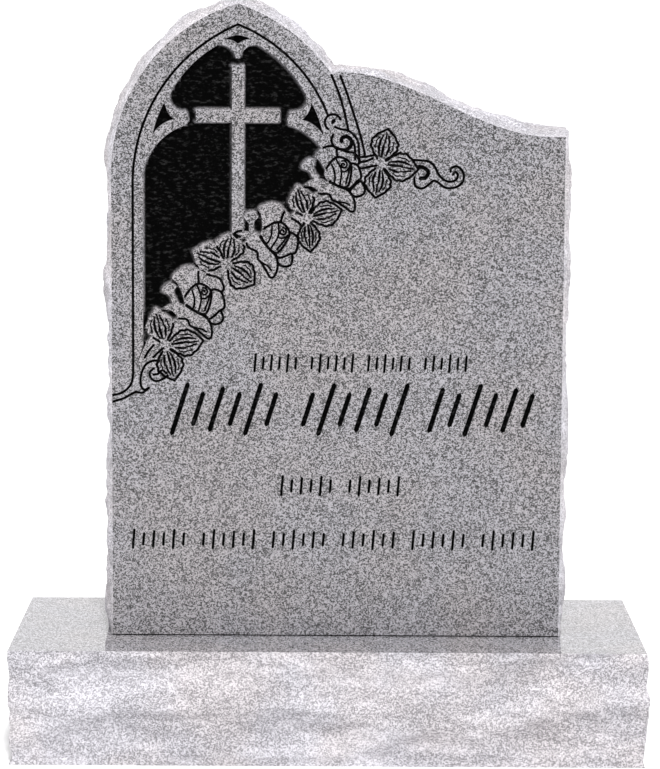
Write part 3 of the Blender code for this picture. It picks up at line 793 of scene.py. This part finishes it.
def down_the_slope(points):
    """0 at the rim to 1 at the slope's foot and beyond, and how far the slope faces to the left.

    The distance to each stretch of rim is divided by the slope's length in that direction, so the
    slope turns round corners without a step.
    """
    within = np.flatnonzero(sunk_field(points))
    share, left = np.zeros(len(points)), np.zeros(len(points))
    way = rim_end - rim_start
    for block in np.array_split(within, 1 + len(within) * len(way) // BLOCK):
        x, z = points[block, :1] - rim_start[:, 0], points[block, 1:] - rim_start[:, 1]
        along = np.clip((x * way[:, 0] + z * way[:, 1]) / (way**2).sum(1), 0, 1)
        x, z = x - along * way[:, 0], z - along * way[:, 1]
        away = np.maximum(np.hypot(x, z), 1e-9)
        widths = away / slope_length(x / away, z / away, rim_longest)
        nearest = widths.argmin(1)
        share[block] = widths.min(1)
        left[block] = np.clip(-rim_facing[nearest, 0], 0, 1) ** 2
    return np.clip(share, 0, 1), left


# %% [markdown]
# ## Grooves
#
# A blasted line is a V-shaped groove. A constant groove has blunt ends, and a vein tapers like
# a brush stroke. Where a layer's line passes behind a nearer layer, or runs along the rim of
# the recess, it isn't cut, as on the real stone.

# %% Which lines are seen
LINE_SAMPLE = 0.0006
LINE_DEPTH = 0.0013
LINE_TOLERANCE = 0.00012


def thinned(line):
    """The same line with only the points that it needs to stay within the tolerance."""
    if len(line) < 3:
        return line
    way = line[-1] - line[0]
    span = np.hypot(*way)
    apart = line[1:-1] - line[0]
    off = np.hypot(*apart.T) if span < LINE_TOLERANCE else abs(apart @ (-way[1], way[0])) / span
    if off.max() < LINE_TOLERANCE:
        return line[[0, -1]]
    furthest = off.argmax() + 1
    return np.vstack([thinned(line[:furthest + 1])[:-1], thinned(line[furthest:])])


def garland_lines():
    """Each layer's lines, without what a nearer layer hides or the rim of the recess takes."""
    lines = []
    for index, (_, cuts, _) in enumerate(layers):
        for line, width, tapered in cuts:
            line = evenly(line, LINE_SAMPLE)
            seen = ~sunk_field(line) & (widths_away(line, rim_start, rim_end, width / 2)[0] > 1)
            for nearer, _, _ in layers[index + 1:]:
                seen &= ~inside(line, nearer)
            lines += [(run, width, tapered) for run in runs(line, seen)]
    return lines


class Groove:
    """One engraved line: its points, and half its width at each of them."""

    def __init__(self, line, width, tapered):
        self.line = evenly(line, 0.002) if tapered else thinned(line)
        share = np.linspace(0, 1, len(self.line))
        self.half = width / 2 * (0.3 + 0.7 * np.sin(np.pi * share) ** 0.7 if tapered else share**0)
        self.depth = LINE_DEPTH * width / LINE_WIDTH

    def edges(self):
        """The centre line and the outline around it, with pointed ends."""
        way = np.diff(self.line, axis=0)
        way /= np.hypot(*way.T)[:, None]
        way = np.vstack([way[:1], way[:-1] + way[1:], way[-1:]])
        way /= np.hypot(*way.T)[:, None]
        across = np.column_stack([-way[:, 1], way[:, 0]]) * self.half[:, None]
        first = self.line[:1] - way[:1] * self.half[0]
        last = self.line[-1:] + way[-1:] * self.half[-1]
        around = np.vstack([first, self.line + across, last, (self.line - across)[::-1], first])
        return [self.line, around]

    def fall(self, points):
        """1 on the centre line and 0 at the groove's edge, for each point."""
        fall = np.zeros(len(points))
        reach = self.half.max()
        close = np.all((points > self.line.min(0) - reach) & (points < self.line.max(0) + reach), axis=1)
        half = (self.half[:-1] + self.half[1:]) / 2
        away, _ = widths_away(points[close], self.line[:-1], self.line[1:], half)
        fall[close] = np.clip(1 - away, 0, 1)
        return fall


layer_grooves = [Groove(*line) for line in garland_lines()]
grooves = layer_grooves + [Groove(*line) for line in ornament_lines() + inscription_strokes()]
print("engraved lines:", len(grooves))

# %% [markdown]
# ## The face as a height map that follows the carving
#
# The face is one sheet: a point's depth is a function of its place. A regular grid would need
# millions of cells to keep the cuts sharp. Instead a Delaunay triangulation runs along every
# line of the carving, with loose points where the stone is shaped between them. Petals and
# leaves sink softly towards their outlines, and the blast leaves the recess an uneven floor.

# %% Triangles that follow the carving
SLOPE_LINES = (0.0, 0.2, 0.4, 0.7, 1.0)
LEVEL_SLACK = 0.03
MERGE_DISTANCE = 0.0001
GARLAND_GRID = 0.0028
RECESS_GRID = 0.0040


def slope_lines():
    """The rim of the recess and its parallels down the slope, kept where they truly are that deep."""
    found = []
    for start, _, facing, longest in rims:
        length = slope_length(*facing.T, longest)
        breaks = np.flatnonzero(np.hypot(*np.diff(start, axis=0).T) > 2 * RIM_SAMPLE) + 1
        for level in SLOPE_LINES:
            line = start + facing * (length * level)[:, None]
            kept = (abs(down_the_slope(line)[0] - level) < LEVEL_SLACK) | (level == 0)
            for piece, keep in zip(np.split(line, breaks), np.split(kept, breaks)):
                found += [thinned(run) for run in runs(piece, keep, 3)]
    return found


def grid_within(low, high, spacing):
    x, z = np.meshgrid(np.arange(low[0], high[0], spacing), np.arange(low[1], high[1], spacing))
    return np.column_stack([x.ravel(), z.ravel()])


def loose_points():
    """Extra points on the petals and leaves and on the floor of the recess."""
    every = np.vstack([outline for outline, _, _ in layers])
    fine = grid_within(every.min(0), every.max(0), GARLAND_GRID)
    on_layer = np.zeros(len(fine), bool)
    for outline, _, _ in layers:
        on_layer |= inside(fine, outline)
    coarse = grid_within(glass.min(0), glass.max(0), RECESS_GRID)
    return np.vstack([fine[on_layer], coarse[sunk_field(coarse)]])


def triangulated(outline, lines, loose=np.empty((0, 2))):
    """Points and triangles of the area inside an outline, divided along the lines."""
    points, sides, first = [], [], 0
    for line in [closed_line(outline)] + lines:
        points.append(line)
        sides += [(i, i + 1) for i in range(first, first + len(line) - 1)]
        first += len(line)
    points = [Vector(point) for point in np.vstack(points + [loose])]
    found, _, triangles, _, _, _ = delaunay_2d_cdt(points, sides, [], 0, MERGE_DISTANCE)
    found, triangles = np.array([point[:] for point in found]), np.array(triangles)
    triangles = triangles[inside(found[triangles].mean(1), outline)]
    a, b, c = (found[triangles[:, k]] for k in range(3))
    area = (b[:, 0] - a[:, 0]) * (c[:, 1] - a[:, 1]) - (b[:, 1] - a[:, 1]) * (c[:, 0] - a[:, 0])
    triangles[area < 0] = triangles[area < 0][:, ::-1]
    used = np.unique(triangles)
    number = np.full(len(found), -1)
    number[used] = np.arange(len(used))
    return found[used], number[triangles]


# %% Depth and finish of the face
SHOULDER_DEPTH = 0.00045
SHOULDER_REACH = 0.0032
FLOOR_UNEVEN = 0.00045
FLOOR_SEED = 5
PAINT_STRENGTH = 3.0
# Extra black in the recess, from slopes that face right or up to slopes that face left: a thin coat of
# paint, and more on the left-facing slopes as painted shade.
COAT_AND_LEFT_SHADE = (0.28, 0.62)
FOOT_CHAMFER = 0.0015


def carved(points):
    """Depth, and how painted the stone is, at each point of the face."""
    share, _ = down_the_slope(points)
    floor = np.clip(share * 2 - 1, 0, 1)
    pits = np.clip(abs(np.random.default_rng(FLOOR_SEED).normal(size=len(points))), 0, 2)
    depth = RECESS_DEPTH * np.sin(np.pi / 2 * share) - FLOOR_UNEVEN * floor * pits
    painted = share.copy()
    start = np.vstack([groove.line[:-1] for groove in layer_grooves])
    end = np.vstack([groove.line[1:] for groove in layer_grooves])
    for outline, _, _ in layers:
        on_layer = np.flatnonzero(inside(points, outline) & (share == 0))
        away, _ = widths_away(points[on_layer], start, end, SHOULDER_REACH)
        depth[on_layer] = SHOULDER_DEPTH * np.clip(1 - away, 0, 1) ** 2
    level = depth.copy()
    for groove in grooves:
        fall = groove.fall(points)
        depth = np.maximum(depth, level + groove.depth * fall)
        painted = np.maximum(painted, PAINT_STRENGTH * fall)
    return depth, painted


face_outline = np.column_stack([fine_outline[:, 0], np.maximum(fine_outline[:, 1], FOOT_CHAMFER)])
face_lines = slope_lines() + [edge for groove in grooves for edge in groove.edges()]
face_points, face_triangles = triangulated(face_outline, face_lines, loose_points())
face_depth, face_painted = carved(face_points)
middles = face_points[face_triangles].mean(1)
face_blasted = sunk_field(middles)
# Extra black on each blasted triangle: a thin coat of paint, and painted shade on the slopes that face
# left.
face_coat_and_left_shade = face_blasted * np.interp(down_the_slope(middles)[1], (0, 1), COAT_AND_LEFT_SHADE)
print("face:", len(face_points), "points,", len(face_triangles), "triangles")

# %% [markdown]
# ## Rock pitch
#
# A mason breaks the sides with a pitching chisel: every blow spalls off a shallow bowl, and
# ridges stay where bowls meet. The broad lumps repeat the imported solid's formula, so both have
# one form. Hundreds of bowls lie over them, each a paraboloid with its own length, width and
# slant, and at every point the deepest one counts.

# %% Broad lumps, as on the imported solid
# Share of the way across a side, and how far the stone swells out there
PITCH_ROWS = np.array([(0.0, 0.0), (0.06, 0.48), (0.20, 0.85), (0.42, 1.0), (0.66, 0.92), (0.90, 0.65),
                       (1.0, 0.0)])
ROCK_GRAIN = 0.055


def lumps(points, seed):
    """Broken stone between 0 and 1 at each point in space: broad scoops with finer chips on them."""
    values = []
    for point in points:
        place = Vector(point) / ROCK_GRAIN + Vector((seed, seed, seed))
        values.append(0.6 + 0.50 * noise.noise(place) + 0.25 * noise.noise(place * 2.7))
    values = np.clip(values, 0, None)
    return values / values.max()


def lengths_along(loop):
    """How far along a closed loop each of its points lies, and last the whole way round."""
    return np.concatenate([[0], np.cumsum(np.hypot(*np.diff(closed_line(loop), axis=0).T))])


def places_along(points, loop):
    """How far along a closed loop each point on it lies."""
    along, way = lengths_along(loop), np.diff(closed_line(loop), axis=0)
    from_start = points[:, None] - loop
    share = np.clip((from_start * way).sum(2) / (way**2).sum(1), 0, 1)
    nearest = np.hypot(*(from_start - share[..., None] * way).transpose(2, 0, 1)).argmin(1)
    return along[nearest] + share[np.arange(len(points)), nearest] * np.diff(along)[nearest]


def spread(values, along, wanted):
    """Values at a closed loop's points, read in between them: (rows, points, 2) for the wanted."""
    ring = np.concatenate([values, values[:, :1]], axis=1)
    return np.stack([[np.interp(wanted, along, row[:, k]) for row in ring] for k in (0, 1)], axis=2)


def between_rows(values, wanted):
    """Values on the rows of a side where the lumps are known, read at more rows in between them."""
    shares = PITCH_ROWS[:, 0]
    low = np.clip(np.searchsorted(shares, wanted, side="right") - 1, 0, len(shares) - 2)
    part = (wanted - shares[low]) / (shares[low + 1] - shares[low])
    return values[low] * (1 - part)[:, None, None] + values[low + 1] * part[:, None, None]


# %% Bowls of the chisel
CHIP_MARGIN = 0.006


def scattered(low, high, height, count, length, ratio, slant, depth, seed):
    """Bowls by chance: place along and down, half length, half width, turn and depth of each."""
    chance = np.random.default_rng(seed)
    long_way = length * chance.uniform(0.6, 1.4, count)
    return np.column_stack([chance.uniform(low, high, count), chance.uniform(0, height, count), long_way,
                            long_way / (1 + (ratio - 1) * chance.uniform(0.5, 1.3, count)),
                            chance.uniform(-slant, slant, count),
                            depth * chance.uniform(0.4, 1.0, count)])


def deepest(along, down, perimeter, bowls):
    """Depth of the deepest paraboloid bowl at each point of a side that is wrapped round a loop."""
    centre_along, centre_down, long_way, short_way, turn, depth = np.asarray(bowls).T
    found = np.zeros(along.size)
    for block in np.array_split(np.arange(along.size), 1 + along.size * len(turn) // BLOCK):
        x = along.ravel()[block, None] - centre_along
        x = (x + perimeter / 2) % perimeter - perimeter / 2
        y = down.ravel()[block, None] - centre_down
        right = (x * np.cos(turn) + y * np.sin(turn)) / long_way
        up = (y * np.cos(turn) - x * np.sin(turn)) / short_way
        found[block] = (depth * (1 - right**2 - up**2)).max(1).clip(0)
    return found.reshape(along.shape)


def broken_side(coarse, out, rough, pitch, plan_along, width, spacing, first, groups):
    """How far a side stands out at each of its points, and how far across the side they lie.

    `rough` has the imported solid's lumps in rows across the side, which are read in between. The
    deepest bowl of each group is taken away, less and less towards the side's two edges. The
    first row is narrow, and the others are evenly spaced.
    """
    shares = np.concatenate([[0, first / width], np.linspace(first / width, 1, round(width / spacing))[1:]])
    coarse_along = lengths_along(coarse)
    lumpy = out * (pitch * PITCH_ROWS[:, 1:] * rough)[..., None]
    push = between_rows(spread(lumpy, coarse_along, plan_along), shares)
    direction = spread(out[None], coarse_along, plan_along)[0]
    along, down = np.meshgrid(plan_along, shares * width)
    chips = sum(deepest(along, down, coarse_along[-1], bowls) for bowls in groups)
    chips *= np.clip(np.minimum(down, width - down) / CHIP_MARGIN, 0, 1)
    return push - direction * chips[..., None], down


def strip_faces(numbers):
    """Four corners of each face between rows of point numbers that close on themselves."""
    after = np.roll(numbers, -1, axis=1)
    return np.stack([numbers[:-1], numbers[1:], after[1:], after[:-1]], axis=-1).reshape(-1, 4)


def cap(plan, numbers):
    """Triangles that close a loop of plane points, counter-clockwise, by the points' numbers."""
    points, triangles = triangulated(plan, [])
    nearest = np.hypot(*(points[:, None] - plan).transpose(2, 0, 1)).argmin(1)
    return numbers[nearest][triangles]


# %% [markdown]
# ## From points to a piece
#
# A mason finishes each side of a block in its own way. So a piece is one closed mesh whose parts
# each have a material, and the edges between a sawn or carved side and a broken one stay sharp.

# %% Building a piece from its parts
def build(name, points, parts, sharp_rows):
    """A mesh object from points and (faces, material, smooth) parts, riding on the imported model."""
    mesh = bpy.data.meshes.new(name)
    faces = [face for group, _, _ in parts for face in group.tolist()]
    mesh.from_pydata(points.tolist(), [], faces)
    numbers = np.concatenate([np.full(len(group), i) for i, (group, _, _) in enumerate(parts)])
    for _, material, _ in parts:
        mesh.materials.append(material)
    mesh.polygons.foreach_set("material_index", numbers.astype(np.int32))
    smooth = np.concatenate([np.full(len(group), flag) for group, _, flag in parts])
    mesh.polygons.foreach_set("use_smooth", smooth)
    ends = np.empty(2 * len(mesh.edges), np.int32)
    mesh.edges.foreach_get("vertices", ends)
    on_sharp = np.isin(ends.reshape(-1, 2), sharp_rows).all(1)
    mesh.edges.foreach_set("use_edge_sharp", on_sharp)
    mesh.update()
    piece = bpy.data.objects.new(name, mesh)
    bpy.context.collection.objects.link(piece)
    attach(piece, "root")
    print(name, "has", sum(len(face) - 2 for face in faces), "triangles")
    return piece


# %% [markdown]
# ## The tablet
#
# The face's outer points are the first row of the rough side, so the two share one edge. The
# rows then run back over the thickness. The foot has a small chamfer, filled with a near-black
# joint compound whose darkness is partly painted shade: it draws the dark joint line above the
# base. The back is sawn flat.

# %% The sawn back's material
def sawn_granite(name):
    """Dull granite with the faint parallel marks of the saw."""
    material, place = new_material(name)
    shade = granite_shade(place)
    marks = place.stretched(0.05, 1, 1).clouds(0.004, 2.0)
    colour = granite_colour(place, shade + 0.10 * marks - 0.05, 0.09, 0.46)
    roughness = 0.6 + 0.15 * marks
    use_surface(principled(place, colour, roughness, bumps(marks, 0.0003), IOR=1.5))
    return material


def dark_joint_and_painted_shade(name):
    """The joint under the tablet: a dark filling, made near black as painted shade that draws the joint
    line.
    """
    material, place = new_material(name)
    grit = place.clouds(0.002, 3.0, 0.7)
    use_surface(principled(place, grit.blend(grey(0.003), grey(0.012)), 0.8 + 0.15 * grit,
                           bumps(grit, 0.0003), Specular_IOR_Level=0.1))
    return material


sawn_stone = sawn_granite("sawn_granite")
joint_compound_and_shade = dark_joint_and_painted_shade("joint_compound_and_shade")

# %% The tablet's sides
SIDE_SPACING = 0.0037
TABLET_LUMPS = 3.0
# Number of bowls, half length, length to width, greatest turn, depth and seed
TABLET_BOWLS = ((700, 0.022, 1.8, 1.5, 0.0050, 21), (2400, 0.008, 1.6, 1.5, 0.0018, 22))


def outer_points(points, triangles, loop):
    """The numbers of the points on the edge of a triangulated area, in order along its loop."""
    sides = np.sort(np.concatenate([triangles[:, pair] for pair in ([0, 1], [1, 2], [2, 0])]), axis=1)
    unique, count = np.unique(sides, axis=0, return_counts=True)
    rim = np.unique(unique[count == 1])
    along = places_along(points[rim], loop)
    order = np.argsort(along)
    return rim[order], along[order]


def tablet_sides(rim_plan, rim_along):
    """The rows of points of the tablet's rough sides, front to back: (rows, points, 3)."""
    out = outward(coarse_outline)
    on_foot = coarse_outline[:, 1] < MERGE_DISTANCE
    out[on_foot, 1] = 0
    out[on_foot & (abs(coarse_outline[:, 0]) < TABLET_WIDTH / 2 - MERGE_DISTANCE), 0] = 0
    depths = TABLET_FRONT + TABLET_THICKNESS * PITCH_ROWS[:, 0]
    rough = [lumps(np.insert(coarse_outline, 1, y, axis=1), TABLET_LUMPS) for y in depths]
    around = lengths_along(coarse_outline)[-1]
    groups = [scattered(0, around, TABLET_THICKNESS, *bowls) for bowls in TABLET_BOWLS]
    push, down = broken_side(coarse_outline, out, rough, TABLET_PITCH, rim_along, TABLET_THICKNESS,
                             SIDE_SPACING, FOOT_CHAMFER, groups)
    plan = np.where(rim_plan[:, 1:] <= FOOT_CHAMFER + MERGE_DISTANCE, rim_plan * (1, 0), rim_plan)
    x, z = (plan + push).transpose(2, 0, 1)
    return np.stack([x, down + TABLET_FRONT, np.maximum(z, 0)], axis=-1)


rim, rim_along = outer_points(face_points, face_triangles, face_outline)
rim_along = rim_along * lengths_along(coarse_outline)[-1] / lengths_along(face_outline)[-1]
side_points = tablet_sides(face_points[rim], rim_along)
print("tablet's sides:", side_points.shape[:2], "rows and points")

# %% The finished tablet
front = np.column_stack([face_points[:, 0], TABLET_FRONT + face_depth, face_points[:, 1]])
numbers = len(front) + np.arange(side_points[1:, :, 0].size).reshape(-1, len(rim))
back = cap(side_points[-1][:, [0, 2]], numbers[-1])[:, ::-1]
points = np.vstack([front, side_points[1:].reshape(-1, 3)])
strip = strip_faces(np.vstack([rim, numbers]))
# The chamfer under the tablet is near black: a joint filling, and painted shade in the joint.
underneath = points[strip, 2].max(1) <= FOOT_CHAMFER + MERGE_DISTANCE
parts = [(face_triangles, face_stone, False), (strip[~underneath], edge_stone_painted_paler, True),
         (strip[underneath], joint_compound_and_shade, False), (back, sawn_stone, False)]
points = points + (TABLET_OFFSET, 0, TABLET_FOOT)
carved_tablet = build("carved_tablet", points, parts, np.concatenate([rim, numbers[-1]]))
for name, domain, values in (("blasted", "FACE", face_blasted), ("painted", "POINT", face_painted),
                             ("coat_and_left_shade", "FACE", face_coat_and_left_shade)):
    attribute = carved_tablet.data.attributes.new(name, "FLOAT", domain)
    every = np.zeros(len(attribute.data), np.float32)
    every[:len(values)] = values
    attribute.data.foreach_set("value", every)
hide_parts("tablet")

# %% [markdown]
# ## The base
#
# The base is split on all four sides and polished on top. Long shallow scoops run across the
# split sides, a hand wide and more, and small bowls lie over them. The scoops of the front are
# placed where the real stone has them, and those of the other sides fall by chance. The
# polished top mirrors the tablet and the white around it, so it looks much paler than the
# same stone does in the tablet's face.

# %% The base's sides
BASE_LENGTH = 34 * 0.0254
BASE_DEPTH = 14 * 0.0254
BASE_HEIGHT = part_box("base")[1][2]
BASE_PITCH = 0.011
BASE_LUMPS = 11.0
ALONG_AXIS = 0.9
BASE_SPACING = 0.034
BASE_FINE = 0.0034
BASE_CHAMFER = 0.0012
BASE_BOWLS = ((420, 0.044, 3.2, 0.35, 0.0048, 32), (2600, 0.010, 1.8, 1.0, 0.0014, 33))
SIDE_SCOOPS = (36, 0.130, 4.0, 0.30, 0.0090, 31)
# Place along the front from its left end, place down, half length, half width, turn and depth
FRONT_SCOOPS = (
    (0.113, 0.044, 0.125, 0.032, -0.14, 0.0105),
    (0.130, 0.125, 0.170, 0.040, -0.16, 0.0110),
    (0.310, 0.040, 0.120, 0.034, 0.10, 0.0085),
    (0.390, 0.112, 0.125, 0.032, 0.05, 0.0100),
    (0.500, 0.050, 0.120, 0.036, -0.05, 0.0090),
    (0.561, 0.140, 0.090, 0.030, -0.10, 0.0100),
    (0.690, 0.044, 0.140, 0.034, -0.20, 0.0105),
    (0.760, 0.118, 0.140, 0.040, -0.20, 0.0110),
)


def base_outline(spacing):
    """Counter-clockwise from the front left corner, seen from above."""
    x, y = BASE_LENGTH / 2, BASE_DEPTH / 2
    corners = np.array([(-x, -y), (x, -y), (x, y), (-x, y)])
    sides = zip(corners, np.roll(corners, -1, axis=0))
    return np.vstack([evenly(np.array(side), spacing)[:-1] for side in sides])


def base_sides(plan, coarse):
    """The rows of points of the base's split sides, from the top down: (rows, points, 3)."""
    out = outward(coarse)
    rough = np.array([lumps(np.insert(coarse, 2, z, axis=1), BASE_LUMPS)
                      for z in BASE_HEIGHT * (1 - PITCH_ROWS[:, 0])])
    for way in (out[:, 0], -out[:, 0], out[:, 1], -out[:, 1]):
        rough[:, way > ALONG_AXIS] /= rough[:, way > ALONG_AXIS].max(1, keepdims=True)
    around = lengths_along(coarse)[-1]
    groups = [np.vstack([FRONT_SCOOPS, scattered(BASE_LENGTH, around, BASE_HEIGHT, *SIDE_SCOOPS)])]
    groups += [scattered(0, around, BASE_HEIGHT, *bowls) for bowls in BASE_BOWLS]
    push, down = broken_side(coarse, out, rough, BASE_PITCH, places_along(plan, coarse), BASE_HEIGHT,
                             BASE_FINE, BASE_CHAMFER, groups)
    return np.concatenate([plan + push, BASE_HEIGHT - down[..., None]], axis=-1)


side_points = base_sides(base_outline(BASE_FINE), base_outline(BASE_SPACING))
numbers = np.arange(side_points[..., 0].size).reshape(side_points.shape[:2])
parts = [(cap(side_points[0][:, :2], numbers[0]), base_top_stone, False),
         (strip_faces(numbers), split_stone, True),
         (cap(side_points[-1][:, :2], numbers[-1])[:, ::-1], sawn_stone, False)]
split_base = build("split_base", side_points.reshape(-1, 3), parts,
                   np.concatenate([numbers[0], numbers[-1]]))
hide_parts("base")

# %% [markdown]
# ## The floor
#
# The floor is one large pale sheet.

# %% Floor
floor_material = bpy.data.materials.new("pale_floor")
floor_material.use_nodes = True
floor_inputs = floor_material.node_tree.nodes["Principled BSDF"].inputs
floor_inputs["Base Color"].default_value = grey(FLOOR_LIGHTNESS)
floor_inputs["Roughness"].default_value = FLOOR_ROUGHNESS
floor_mesh = bpy.data.meshes.new("floor")
reach = FLOOR_REACH
floor_mesh.from_pydata([(-reach, -reach, 0), (reach, -reach, 0), (reach, reach, 0), (-reach, reach, 0)],
                       [], [(0, 1, 2, 3)])
floor_mesh.materials.append(floor_material)
floor = bpy.data.objects.new("floor", floor_mesh)
bpy.context.collection.objects.link(floor)
